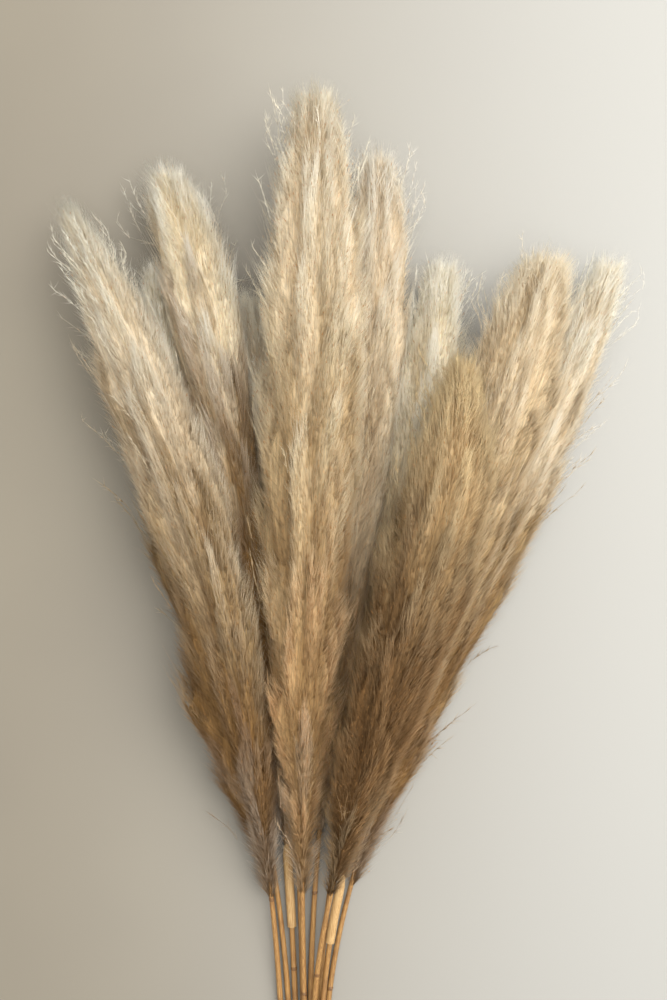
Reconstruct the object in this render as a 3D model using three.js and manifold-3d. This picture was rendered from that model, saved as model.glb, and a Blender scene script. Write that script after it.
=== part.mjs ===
import * as THREE from "three";
import { mergeVertices } from "three/addons/utils/BufferGeometryUtils.js";
import Module from "manifold-3d";

// A bundle of ten dried pampas grass plumes on their stalks, laid down flat.
// Millimetres. +Y runs from the cut ends to the tips, +Z is up, the bundle rests on Z = 0.

const wasm = await Module();
wasm.setup();
const { Manifold, Mesh: SolidMesh } = wasm;

// Stalks: six-sided rods, cut at one end and sunk in a socket of the plume at the other.
const cutLevel = -555;
const stalkRadius = 3.7;
const stalkTopRadius = 2.7;
const stalkGap = 0.35;
const socketDepth = 16;

// Plumes: a slim core with long pointed locks standing out of it.
const coreShare = 0.45;
const coreRings = 8;
const coreSides = 7;
const rootShare = 0.25;
const lockWidth = 22;
const lockThickness = 14;
const lockLengths = [70, 140, 135, 115, 90];
const tipRounding = 0.12;
const plumeGap = 0.5;
const leastRoom = 0.4;
const seed = 4127;

// Leaf sheaths: papery tubes round two of the stalks, cut slanting into a point at the top.
const sheathThickness = 1;
const sheathGap = 0.35;
const sheathSlant = 36;
const sheaths = [
  { name: "left_tall", low: -378, high: -280 },
  { name: "right_large", low: -392, high: -310 },
];

// One entry a stalk. cut: X and Z of the cut end. bend: X of the two inner handles of its
// curve. rise: Z of the two inner handles. tip: X, Y and Z of the tip. trim: how much shorter
// the stalk is cut. base: Y where the plume begins. left and right: reach of the plume from
// its axis at five even levels from base to tip. deep: depth of the plume against its width.
const stalks = [
  {
    name: "far_left", cut: [-62, 3.2], bend: [-74, -124], rise: [3.2, 130], tip: [-300, 430, 62],
    trim: 6, base: -322, left: [26, 84, 90, 66, 32], right: [16, 50, 64, 62, 36], deep: 0.85,
    locks: 134,
  },
  {
    name: "left_inner", cut: [-54.3, 3.2], bend: [-55, -161], rise: [3.2, 44], tip: [-207, 372, 42],
    trim: 2, base: -285, left: [16, 50, 62, 52, 28], right: [16, 44, 58, 50, 28], deep: 0.9,
    locks: 82,
  },
  {
    name: "left_tall", cut: [-46.6, 3.2], bend: [-55, -86], rise: [3.2, 60], tip: [-194, 478, 50],
    trim: 9, base: -270, left: [16, 54, 70, 78, 48], right: [16, 54, 76, 92, 56], deep: 0.8,
    locks: 114,
  },
  {
    name: "left_short", cut: [-38.9, 3.2], bend: [-43, -59], rise: [3.2, 44], tip: [-102, 337, 42],
    trim: 0, base: -275, left: [16, 40, 56, 50, 26], right: [16, 40, 56, 50, 26], deep: 1,
    locks: 76,
  },
  {
    name: "centre_tall", cut: [-35.05, 9.95], bend: [-54, -17], rise: [14, 176], tip: [-25, 550, 92],
    trim: 5, base: -315, left: [18, 60, 78, 76, 46], right: [18, 58, 74, 74, 46], deep: 0.85,
    locks: 134,
  },
  {
    name: "centre_right", cut: [-31.2, 3.2], bend: [-42, 47], rise: [3.2, 58], tip: [43, 497, 50],
    trim: 11, base: -265, left: [16, 44, 60, 58, 44], right: [16, 48, 70, 62, 44], deep: 0.9,
    locks: 102,
  },
  {
    name: "right_pale", cut: [-23.5, 3.2], bend: [-30, 92], rise: [3.2, 50], tip: [117, 374, 46],
    trim: 4, base: -285, left: [16, 46, 68, 64, 42], right: [16, 44, 58, 56, 38], deep: 0.9,
    locks: 90,
  },
  {
    name: "right_short", cut: [-27.35, 9.95], bend: [-46, 113], rise: [16, 180], tip: [129, 254, 128],
    trim: 8, base: -312, left: [18, 50, 70, 66, 34], right: [20, 54, 72, 66, 34], deep: 0.85,
    locks: 102,
  },
  {
    name: "right_large", cut: [-19.65, 9.95], bend: [-30, 146], rise: [13, 118], tip: [227, 378, 78],
    trim: 3, base: -300, left: [18, 58, 78, 84, 56], right: [20, 56, 74, 86, 56], deep: 0.8,
    locks: 126,
  },
  {
    name: "far_right", cut: [-15.8, 3.2], bend: [-21, 196], rise: [3.2, 46], tip: [303, 376, 46],
    trim: 7, base: -312, left: [18, 46, 60, 58, 30], right: [26, 52, 62, 54, 30], deep: 0.85,
    locks: 108,
  },
];

// Repeatable random draw, one stream a node.
function drawFrom(start) {
  let state = start >>> 0;
  return (low, high) => {
    state = (state + 0x6d2b79f5) >>> 0;
    let mixed = Math.imul(state ^ (state >>> 15), state | 1);
    mixed ^= mixed + Math.imul(mixed ^ (mixed >>> 7), mixed | 61);
    return low + (high - low) * (((mixed ^ (mixed >>> 14)) >>> 0) / 4294967296);
  };
}

function clamp(value, low, high) {
  return Math.min(Math.max(value, low), high);
}

function mix(from, to, share) {
  return from + (to - from) * share;
}

// A row of values at even levels, read at any share of the way along it.
function readRow(row, share) {
  const place = clamp(share, 0, 1) * (row.length - 1);
  const index = Math.min(Math.floor(place), row.length - 2);
  return mix(row[index], row[index + 1], place - index);
}

function along(handles, t) {
  const u = 1 - t;
  const weights = [u * u * u, 3 * u * u * t, 3 * u * t * t, t * t * t];
  return weights.reduce((sum, weight, k) => sum + weight * handles[k], 0);
}

// Middle of a stalk, and of its plume, at a level.
function axisAt(stalk, level) {
  const t = clamp((level - cutLevel) / (stalk.tip[1] - cutLevel), 0, 1);
  const x = along([stalk.cut[0], stalk.bend[0], stalk.bend[1], stalk.tip[0]], t);
  const z = along([stalk.cut[1], stalk.rise[0], stalk.rise[1], stalk.tip[2]], t);
  return new THREE.Vector3(x, level, z);
}

function around(stalk, level, reach, angle) {
  const point = axisAt(stalk, level);
  point.x += reach * Math.cos(angle);
  point.z += reach * Math.sin(angle);
  return point;
}

function stalkRadiusAt(stalk, level) {
  return mix(stalkRadius, stalkTopRadius, clamp((level - cutLevel) / (stalk.base - cutLevel), 0, 1));
}

function plumeShare(stalk, level) {
  return (level - stalk.base) / (stalk.tip[1] - stalk.base);
}

// How much room a bare stalk or a plume asks for at a level.
function sizeAt(stalk, level) {
  const share = plumeShare(stalk, level);
  return share < 0 ? 6 : (readRow(stalk.left, share) + readRow(stalk.right, share)) / 2;
}

// Reach of a plume from its axis at a level in one direction, rounded off at the tip.
function reachAt(stalk, level, angle) {
  const share = plumeShare(stalk, level);
  const end = clamp((share - 1 + tipRounding) / tipRounding, 0, 0.98);
  const wide = readRow(Math.cos(angle) < 0 ? stalk.left : stalk.right, share);
  const deep = stalk.deep * sizeAt(stalk, Math.max(level, stalk.base));
  return Math.sqrt(1 - end * end) / Math.hypot(Math.cos(angle) / wide, Math.sin(angle) / deep);
}

// Draws a point in towards its axis until it is above the surface the bundle lies on
// and clear of every other stalk and plume.
function keepClear(stalk, point, gap, lowest) {
  const middle = axisAt(stalk, point.y);
  const dx = point.x - middle.x;
  const dz = point.z - middle.z;
  const own = sizeAt(stalk, point.y);
  let share = point.z < lowest ? (middle.z - lowest) / -dz : 1;
  for (const other of stalks) {
    if (other !== stalk && point.y < other.tip[1] + 25) {
      const away = axisAt(other, point.y).sub(middle);
      const distance = Math.hypot(away.x, away.z);
      const border = clamp(
        distance * own / (own + sizeAt(other, point.y)),
        stalkRadiusAt(stalk, point.y) + 0.8,
        distance - stalkRadiusAt(other, point.y) - 0.8,
      );
      const outward = (dx * away.x + dz * away.z) / distance;
      if (outward > border - gap) {
        share = Math.min(share, Math.max(border - gap, 0.5) / outward);
      }
    }
  }
  return new THREE.Vector3(middle.x + dx * share, point.y, middle.z + dz * share);
}

function geometryOf(points, faces) {
  const geometry = new THREE.BufferGeometry();
  const places = points.flatMap((point) => point.toArray());
  geometry.setAttribute("position", new THREE.Float32BufferAttribute(places, 3));
  geometry.setIndex(faces.flat());
  return geometry;
}

function solidOf(geometry) {
  geometry.deleteAttribute("normal");
  geometry.deleteAttribute("uv");
  const merged = mergeVertices(geometry, 1e-4);
  return new Manifold(new SolidMesh({
    numProp: 3,
    vertProperties: new Float32Array(merged.attributes.position.array),
    triVerts: new Uint32Array(merged.index.array),
  }));
}

// A closed skin over rings of equal size, given from low Y to high Y, each running from +X
// round to +Z. It ends in a point where a tip is given.
function skin(rings, tip) {
  const sides = rings[0].length;
  const points = rings.flat();
  const last = (rings.length - 1) * sides;
  const faces = [];
  for (let side = 1; side < sides - 1; side += 1) {
    faces.push([0, side, side + 1]);
    if (!tip) {
      faces.push([last, last + side + 1, last + side]);
    }
  }
  for (let ring = 0; ring < rings.length - 1; ring += 1) {
    for (let side = 0; side < sides; side += 1) {
      const a = ring * sides + side;
      const b = ring * sides + (side + 1) % sides;
      faces.push([a, a + sides, b], [b, a + sides, b + sides]);
    }
  }
  if (tip) {
    points.push(tip);
    for (let side = 0; side < sides; side += 1) {
      faces.push([last + side, points.length - 1, last + (side + 1) % sides]);
    }
  }
  return geometryOf(points, faces);
}

// A six-sided rod along the stalk through the given levels.
function rodGeometry(stalk, levels, grow) {
  return skin(levels.map((level) => {
    const radius = stalkRadiusAt(stalk, level) + grow;
    return [0, 1, 2, 3, 4, 5].map((side) => around(stalk, level, radius, side * Math.PI / 3));
  }), null);
}

function stalkGeometry(stalk) {
  const steps = 5;
  const levels = [];
  for (let step = 0; step <= steps; step += 1) {
    levels.push(mix(cutLevel + stalk.trim, stalk.base - 6, step / steps));
  }
  levels.push(stalk.base + socketDepth);
  return rodGeometry(stalk, levels, 0);
}

// The slim core of a plume. A low plume is pressed against the surface along its middle.
function coreGeometry(stalk) {
  const rings = [];
  for (let ring = 0; ring < coreRings; ring += 1) {
    const share = 0.92 * ring / (coreRings - 1);
    const level = mix(stalk.base, stalk.tip[1], share);
    const pressed = axisAt(stalk, level).z < 62 && share > 0.3 && share < 0.75;
    const points = [];
    for (let side = 0; side < coreSides; side += 1) {
      const angle = Math.PI * (2 * side / coreSides + 0.5);
      const reach = Math.max(coreShare * reachAt(stalk, level, angle), stalkTopRadius + 2.6);
      const point = around(stalk, level, reach, angle);
      if (pressed && Math.sin(angle) < -0.5) {
        point.z = -2;
      }
      points.push(keepClear(stalk, point, plumeGap + 0.6, pressed ? -2 : 1));
    }
    rings.push(points);
  }
  return skin(rings, axisAt(stalk, mix(stalk.base, stalk.tip[1], 0.985)));
}

// One pointed three-sided lock, from inside the core out to the edge of the plume. Its tip is
// pulled in until the whole lock is clear, and there is no lock where there is no room for it.
function lockGeometry(stalk, draw, index) {
  const share = 0.95 * Math.pow((index + draw(0.1, 0.9)) / stalk.locks, 0.92);
  const angle = index * 2.39996 + draw(-0.3, 0.3);
  const length = readRow(lockLengths, share) * draw(0.8, 1.2);
  const rootLevel = mix(stalk.base + 2, stalk.tip[1], share);
  const tipLevel = Math.min(rootLevel + length, stalk.tip[1] - draw(0, 10));
  const lean = angle + draw(-0.35, 0.35);
  const tipReach = reachAt(stalk, tipLevel, lean) * draw(0.85, 1.08);
  const tip = keepClear(stalk, around(stalk, tipLevel, tipReach, lean), plumeGap, 1);
  const room = tip.distanceTo(axisAt(stalk, tipLevel)) / tipReach;
  const size = mix(0.6, 1, clamp(share * 4, 0, 1)) * mix(1.1, 0.75, share) * draw(0.85, 1.15);
  const under = Math.sin(angle) < -0.4 && index % 2 === 1;
  if (share < 0.85 && (under || (room < leastRoom && Math.sin(angle) < 0.3))) {
    return null;
  }
  const rootReach = reachAt(stalk, rootLevel, angle) * rootShare * Math.min(room * 1.2, 1);
  const root = around(stalk, rootLevel, rootReach, angle);
  const ridge = lockThickness * size;
  const edge = lockWidth * size * 0.5;
  const ring = [[ridge * 0.6, 0], [ridge * -0.4, edge], [ridge * -0.4, -edge]].map(([out, across]) => {
    const corner = root.clone();
    corner.x += out * Math.cos(angle) - across * Math.sin(angle);
    corner.z += out * Math.sin(angle) + across * Math.cos(angle);
    return keepClear(stalk, corner, plumeGap, 1);
  });
  let pull = 1;
  for (const place of [0.2, 0.4, 0.6, 0.8]) {
    for (const corner of ring) {
      const point = corner.clone().lerp(tip, place);
      const middle = axisAt(stalk, point.y);
      const clear = keepClear(stalk, point, plumeGap, 1);
      pull = Math.min(pull, clear.distanceTo(middle) / point.distanceTo(middle));
    }
  }
  return skin([ring], axisAt(stalk, tipLevel).lerp(tip, pull));
}

function largestPiece(solid) {
  return solid.decompose().reduce((best, piece) => (piece.volume() > best.volume() ? piece : best));
}

function plumeSolid(stalk, order) {
  const draw = drawFrom(seed + 97 * order);
  const pieces = [solidOf(coreGeometry(stalk))];
  for (let index = 0; index < stalk.locks; index += 1) {
    const lock = lockGeometry(stalk, draw, index);
    if (lock) {
      pieces.push(solidOf(lock));
    }
  }
  const socketLevels = [stalk.base - 6, stalk.base + socketDepth + 0.4];
  const socket = solidOf(rodGeometry(stalk, socketLevels, stalkGap + 0.05));
  const below = new THREE.BoxGeometry(1600, 1600, 40);
  below.translate(0, 0, -20);
  const whole = Manifold.union(pieces).subtract(socket).subtract(solidOf(below));
  return largestPiece(whole.simplify(0.1));
}

// A thin tube round a stalk. Its upper end is cut on a slant, longest on the upper side.
function sheathSolid(sheath) {
  const stalk = stalks.find((entry) => entry.name === sheath.name);
  const middle = mix(sheath.low, sheath.high, 0.5);
  const outside = rodGeometry(stalk, [sheath.low, middle, sheath.high], sheathGap + sheathThickness);
  const inside = rodGeometry(stalk, [sheath.low - 9, middle, sheath.high + 9], sheathGap);
  const wide = 2 * (stalkRadius + sheathGap + sheathThickness);
  const turn = Math.atan2(-sheathSlant, wide);
  const cutter = new THREE.BoxGeometry(60, 120, 160);
  cutter.translate(0, 60, 0);
  cutter.rotateX(turn);
  const top = axisAt(stalk, sheath.high);
  cutter.translate(top.x, top.y, top.z + wide / 2);
  return solidOf(outside).subtract(solidOf(inside)).subtract(solidOf(cutter));
}

function meshOf(solid, name, color) {
  const data = solid.getMesh();
  const places = new Float32Array(data.numVert * 3);
  for (let vertex = 0; vertex < data.numVert; vertex += 1) {
    for (let k = 0; k < 3; k += 1) {
      places[vertex * 3 + k] = data.vertProperties[vertex * data.numProp + k];
    }
  }
  const geometry = new THREE.BufferGeometry();
  geometry.setAttribute("position", new THREE.BufferAttribute(places, 3));
  geometry.setIndex(new THREE.BufferAttribute(new Uint32Array(data.triVerts), 1));
  geometry.computeVertexNormals();
  const look = { color, roughness: 0.9, metalness: 0, flatShading: true };
  const mesh = new THREE.Mesh(geometry, new THREE.MeshStandardMaterial(look));
  mesh.name = name;
  return mesh;
}

const bundle = new THREE.Group();
bundle.name = "bundle_of_pampas_grass";

stalks.forEach((stalk, order) => {
  bundle.add(meshOf(plumeSolid(stalk, order), `plume_${stalk.name}`, 0xe2cda0));
  bundle.add(meshOf(solidOf(stalkGeometry(stalk)), `stalk_${stalk.name}`, 0xb08a52));
});

sheaths.forEach((sheath) => {
  bundle.add(meshOf(sheathSolid(sheath), `leaf_sheath_${sheath.name}`, 0xeee2c6));
});

export default bundle;
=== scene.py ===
import math
import bmesh
import bpy
import numpy as np
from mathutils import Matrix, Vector


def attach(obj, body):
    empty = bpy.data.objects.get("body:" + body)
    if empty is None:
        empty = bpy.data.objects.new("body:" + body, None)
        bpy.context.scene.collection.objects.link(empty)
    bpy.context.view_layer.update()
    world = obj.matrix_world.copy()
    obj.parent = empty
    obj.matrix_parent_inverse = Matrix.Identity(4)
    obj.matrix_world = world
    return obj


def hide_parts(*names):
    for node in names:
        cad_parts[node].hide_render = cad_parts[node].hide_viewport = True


# A bundle of dried pampas grass laid down flat and seen from straight above.
# Its plumes are worked out in millimetres, as their solids are, and made in metres.
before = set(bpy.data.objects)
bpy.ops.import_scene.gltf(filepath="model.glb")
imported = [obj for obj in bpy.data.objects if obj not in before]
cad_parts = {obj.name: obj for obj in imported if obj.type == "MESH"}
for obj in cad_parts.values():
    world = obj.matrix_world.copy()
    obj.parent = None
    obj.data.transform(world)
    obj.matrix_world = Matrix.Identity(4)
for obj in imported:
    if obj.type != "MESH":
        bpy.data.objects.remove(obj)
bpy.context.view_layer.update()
toMetres = 0.001
cutLevel = -555.0
print("frame loaded:", len(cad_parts), "nodes")

# camera, lights and floor
viewSettings = {
    "place": (-0.0055, 0.110, 1.350),
    "lens": 42.2,
    "keyPlace": (1.6, 1.4, 2.3), "keySize": 3.0, "keyPower": 103.0,
    "fillPlace": (0.4, 0.3, 2.3), "fillSize": 2.6, "fillPower": 52.0,
    "sidePlace": (1.9, -0.5, 1.1), "sideSize": 1.2, "sidePower": 12.0,
    "aim": (0.0, 0.1, 0.05),
    "warm": (1.0, 0.965, 0.905),
    "cool": (1.0, 0.975, 0.93),
    "skyColour": (1.0, 0.94, 0.85, 1.0),
    "skyStrength": 0.8,
    "floorSize": 14.0,
}

bpy.ops.object.select_all(action="DESELECT")
bpy.ops.object.camera_add(location=viewSettings["place"], rotation=(0, 0, 0))
camera = bpy.context.object
camera.name = "overheadCamera"
camera.data.lens = viewSettings["lens"]
camera.data.sensor_width = 36.0
camera.data.dof.use_dof = False
bpy.context.scene.camera = camera


def softLight(name, place, size, power, colour):
    bpy.ops.object.light_add(type="AREA", location=place)
    light = bpy.context.object
    light.name = name
    light.data.shape = "DISK"
    light.data.size = size
    light.data.energy = power
    light.data.color = colour
    toward = Vector(viewSettings["aim"]) - Vector(place)
    light.rotation_euler = toward.to_track_quat("-Z", "Y").to_euler()
    return light


for part, colour in (("key", "warm"), ("fill", "cool"), ("side", "warm")):
    softLight(part + "Light", viewSettings[part + "Place"], viewSettings[part + "Size"],
              viewSettings[part + "Power"], viewSettings[colour])

sky = bpy.data.worlds.new("studioSky")
sky.use_nodes = True
sky.node_tree.nodes["Background"].inputs["Color"].default_value = viewSettings["skyColour"]
sky.node_tree.nodes["Background"].inputs["Strength"].default_value = viewSettings["skyStrength"]
bpy.context.scene.world = sky
bpy.context.scene.view_settings.view_transform = "Standard"
bpy.context.scene.cycles.diffuse_bounces = 8
print("camera and lights placed")


# materials
def tint(red, green, blue):
    shares = [value / 255 for value in (red, green, blue)]
    return tuple(s / 12.92 if s <= 0.04045 else ((s + 0.055) / 1.055) ** 2.4 for s in shares) + (1.0,)


def place(nodes, kind, across, down, **values):
    node = nodes.new(kind)
    node.location = (across, down)
    for key, value in values.items():
        setattr(node, key, value)
    return node


def socketsFor(group, rows, side):
    for name, kind, value in rows:
        made = group.interface.new_socket(name=name, in_out=side, socket_type=kind)
        if value is not None:
            made.default_value = value


finishSockets = [("Color", "NodeSocketColor", None), ("Roughness", "NodeSocketFloat", None),
                 ("Height", "NodeSocketFloat", None)]


def blendColours(tree, factor, first, second, across, down, mode="MIX"):
    node = place(tree.nodes, "ShaderNodeMix", across, down, data_type="RGBA", blend_type=mode)
    for socket, value in ((node.inputs[0], factor), (node.inputs[6], first), (node.inputs[7], second)):
        if isinstance(value, bpy.types.NodeSocket):
            tree.links.new(value, socket)
        else:
            socket.default_value = value
    return node.outputs[2]


def sumOf(tree, operation, first, second, across, down, third=None):
    node = place(tree.nodes, "ShaderNodeMath", across, down, operation=operation)
    for socket, value in zip(node.inputs, (first, second, third)):
        if isinstance(value, bpy.types.NodeSocket):
            tree.links.new(value, socket)
        elif value is not None:
            socket.default_value = value
    return node.outputs[0]


def spread(tree, value, low, high, lowOut, highOut, across, down):
    node = place(tree.nodes, "ShaderNodeMapRange", across, down, interpolation_type="SMOOTHSTEP")
    tree.links.new(value, node.inputs["Value"])
    for name, number in (("From Min", low), ("From Max", high), ("To Min", lowOut), ("To Max", highOut)):
        node.inputs[name].default_value = number
    return node.outputs["Result"]


# colour of a dry fibre: by its place up the plume, by painted shade for its depth in the plume, and by its
# own draw
def makeFibreGroup():
    group = bpy.data.node_groups.new("plumeFibre", "ShaderNodeTree")
    socketsFor(group, [
        ("Skin", "NodeSocketVector", (0, 0, 0)),
        ("Growth", "NodeSocketColor", (0.5, 0.5, 0.5, 1)),
        ("Draw", "NodeSocketColor", (0.5, 0.5, 0.5, 1)),
        ("Base Tone", "NodeSocketColor", tint(168, 122, 70)),
        ("Middle Tone", "NodeSocketColor", tint(214, 178, 122)),
        ("Tip Tone", "NodeSocketColor", tint(240, 226, 196)),
        ("Painted Shade Tone", "NodeSocketColor", tint(150, 98, 46)),
        ("Painted Glow Tone", "NodeSocketColor", tint(244, 214, 150)),
        ("Seed Tone", "NodeSocketColor", tint(206, 156, 98)),
        ("Painted Shade Share", "NodeSocketFloat", 0.75),
        ("Variation", "NodeSocketFloat", 0.3),
    ], "INPUT")
    socketsFor(group, finishSockets, "OUTPUT")
    nodes, links = group.nodes, group.links
    taken = place(nodes, "NodeGroupInput", -1200, 0)
    given = place(nodes, "NodeGroupOutput", 1000, 0)
    growth = place(nodes, "ShaderNodeSeparateColor", -1000, 200)
    draw = place(nodes, "ShaderNodeSeparateColor", -1000, -200)
    links.new(taken.outputs["Growth"], growth.inputs[0])
    links.new(taken.outputs["Draw"], draw.inputs[0])
    up, outward, along = growth.outputs[0], growth.outputs[1], growth.outputs[2]
    tuftDraw, hairDraw, seed = draw.outputs[0], draw.outputs[1], draw.outputs[2]
    # the fluff pales up the plume, with each tuft a little ahead or behind: partly the plume's own browner
    # foot, partly painted shade low down where the plumes lie over one another
    shift = sumOf(group, "MULTIPLY_ADD", tuftDraw, 0.24, -800, 320, -0.12)
    height = sumOf(group, "ADD", up, shift, -640, 320)
    lower = spread(group, height, 0.13, 0.64, 0.0, 1.0, -480, 400)
    upper = spread(group, height, 0.48, 0.98, 0.0, 1.0, -480, 160)
    tone = blendColours(group, lower, taken.outputs["Base Tone"], taken.outputs["Middle Tone"], -280, 400)
    tone = blendColours(group, upper, tone, taken.outputs["Tip Tone"], -100, 360)
    # silky ends are paler than roots, least so low down
    ends = spread(group, along, 0.1, 1.0, 0.0, 0.55, -280, 100)
    ends = sumOf(group, "MULTIPLY", ends, spread(group, height, 0.2, 0.8, 0.3, 1.0, -280, 0), -100, 100)
    tone = blendColours(group, ends, tone, taken.outputs["Tip Tone"], 80, 320)
    # the lowest fluff, by the stalk, is pale again
    hem = spread(group, height, 0.0, 0.17, 0.55, 0.0, -280, -20)
    tone = blendColours(group, hem, tone, taken.outputs["Tip Tone"], 170, 380)
    # painted shade: deep inside the plume the colour darkens to golden brown, and towards the tip to a paler
    # painted golden glow
    inside = spread(group, outward, 0.25, 0.85, 1.0, 0.0, -280, -60)
    inside = sumOf(group, "MULTIPLY", inside, taken.outputs["Painted Shade Share"], -100, -60)
    paler = spread(group, height, 0.3, 0.9, 0.0, 1.0, -280, -160)
    deep = blendColours(group, paler, taken.outputs["Painted Shade Tone"], taken.outputs["Painted Glow Tone"], 80, -60)
    tone = blendColours(group, inside, tone, deep, 260, 280)
    # fine lengthwise streaks
    mapping = place(nodes, "ShaderNodeMapping", -1200, -520)
    mapping.inputs["Scale"].default_value = (1.0, 0.06, 1.0)
    links.new(taken.outputs["Skin"], mapping.inputs["Vector"])
    streaks = place(nodes, "ShaderNodeTexNoise", -1000, -520)
    streaks.inputs["Scale"].default_value = 620.0
    streaks.inputs["Detail"].default_value = 3.0
    links.new(mapping.outputs[0], streaks.inputs["Vector"])
    links.new(streaks.outputs[0], given.inputs["Height"])
    fibres = spread(group, streaks.outputs[0], 0.34, 0.62, 0.0, 1.0, -800, -520)
    # small husks show as tan specks
    dots = place(nodes, "ShaderNodeMapping", -1200, -820)
    dots.inputs["Scale"].default_value = (1.0, 0.35, 1.0)
    links.new(taken.outputs["Skin"], dots.inputs["Vector"])
    specks = place(nodes, "ShaderNodeTexNoise", -1000, -820)
    specks.inputs["Scale"].default_value = 420.0
    specks.inputs["Detail"].default_value = 1.0
    links.new(dots.outputs[0], specks.inputs["Vector"])
    husks = spread(group, specks.outputs[0], 0.62, 0.72, 0.0, 0.3, -800, -820)
    tone = blendColours(group, husks, tone, taken.outputs["Seed Tone"], 340, 120)
    # each tuft and each hair is a little lighter or darker
    light = sumOf(group, "ADD", tuftDraw, hairDraw, -480, -260)
    light = sumOf(group, "SUBTRACT", light, 1.0, -320, -260)
    light = sumOf(group, "MULTIPLY", light, taken.outputs["Variation"], -160, -260)
    light = sumOf(group, "ADD", light, 0.98, 0, -260)
    # the soft middle is streaked darker and lighter
    middle = spread(group, along, 0.0, 0.04, 0.4, 0.02, -320, -420)
    streaked = sumOf(group, "SUBTRACT", fibres, 0.5, -320, -560)
    streaked = sumOf(group, "MULTIPLY", streaked, middle, -160, -480)
    light = sumOf(group, "ADD", light, streaked, 80, -340)
    shade = place(nodes, "ShaderNodeCombineColor", 160, -260)
    for socket in shade.inputs:
        links.new(light, socket)
    tone = blendColours(group, 1.0, tone, shade.outputs[0], 440, 240, "MULTIPLY")
    tone = blendColours(group, seed, tone, taken.outputs["Seed Tone"], 620, 200)
    links.new(tone, given.inputs["Color"])
    rough = sumOf(group, "MULTIPLY_ADD", hairDraw, 0.2, 620, 0, 0.5)
    links.new(rough, given.inputs["Roughness"])
    return group


fibreGroup = makeFibreGroup()

# tones are pale because light is passed on many times from hair to hair
toneNames = ("Base Tone", "Middle Tone", "Tip Tone", "Painted Shade Tone", "Painted Glow Tone", "Painted Shade Share", "Variation")
plumeTones = {
    "goldenPlume": ((164, 126, 78), (208, 181, 129), (255, 254, 246),
                    (142, 108, 64), (244, 230, 202), 0.8, 0.07),
    "tawnyPlume": ((182, 142, 90), (214, 188, 140), (254, 248, 232),
                   (142, 108, 64), (232, 213, 176), 0.8, 0.09),
    "wheatPlume": ((242, 206, 154), (234, 218, 178), (254, 251, 240),
                   (168, 134, 86), (230, 211, 174), 0.8, 0.09),
    "honeyPlume": ((154, 116, 66), (186, 148, 86), (255, 254, 247),
                   (150, 110, 56), (251, 239, 209), 0.8, 0.06),
    "creamPlume": ((166, 129, 80), (236, 220, 178), (255, 254, 247),
                   (164, 128, 80), (248, 237, 208), 0.65, 0.05),
    "duskyPlume": ((194, 157, 113), (251, 240, 212), (255, 253, 246),
                   (170, 136, 90), (242, 224, 190), 0.7, 0.07),
    # painted shade: a darker copy of the plume colours, darkest in the middle, for the plume that lies in
    # the shade of the others
    "paintedShadePlume": ((174, 135, 88), (142, 106, 66), (240, 224, 186),
                   (104, 75, 43), (194, 162, 114), 0.85, 0.12),
}


def makePlumeMaterial(name, tones):
    material = bpy.data.materials.new(name)
    material.use_nodes = True
    nodes, links = material.node_tree.nodes, material.node_tree.links
    surface = nodes["Principled BSDF"]
    surface.inputs["Specular IOR Level"].default_value = 0.25
    finish = nodes["Material Output"]
    fibre = place(nodes, "ShaderNodeGroup", -400, 0, node_tree=fibreGroup)
    for key, value in zip(toneNames, tones):
        fibre.inputs[key].default_value = tint(*value) if isinstance(value, tuple) else value
    for attribute, output, down in (("skin", "Vector", 400), ("growth", "Color", 200), ("draw", "Color", 0)):
        source = place(nodes, "ShaderNodeAttribute", -640, down, attribute_name=attribute)
        links.new(source.outputs[output], fibre.inputs[attribute.capitalize()])
    bump = place(nodes, "ShaderNodeBump", -200, -250)
    bump.inputs["Strength"].default_value = 0.5
    bump.inputs["Distance"].default_value = 0.0012
    links.new(fibre.outputs["Height"], bump.inputs["Height"])
    links.new(fibre.outputs["Color"], surface.inputs["Base Color"])
    links.new(fibre.outputs["Roughness"], surface.inputs["Roughness"])
    links.new(bump.outputs[0], surface.inputs["Normal"])
    glow = place(nodes, "ShaderNodeBsdfTranslucent", 0, -350)
    links.new(fibre.outputs["Color"], glow.inputs["Color"])
    both = place(nodes, "ShaderNodeMixShader", 300, 0)
    both.inputs[0].default_value = 0.5
    links.new(surface.outputs[0], both.inputs[1])
    links.new(glow.outputs[0], both.inputs[2])
    links.new(both.outputs[0], finish.inputs["Surface"])
    return material


plumeMaterials = {name: makePlumeMaterial(name, tones) for name, tones in plumeTones.items()}


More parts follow.
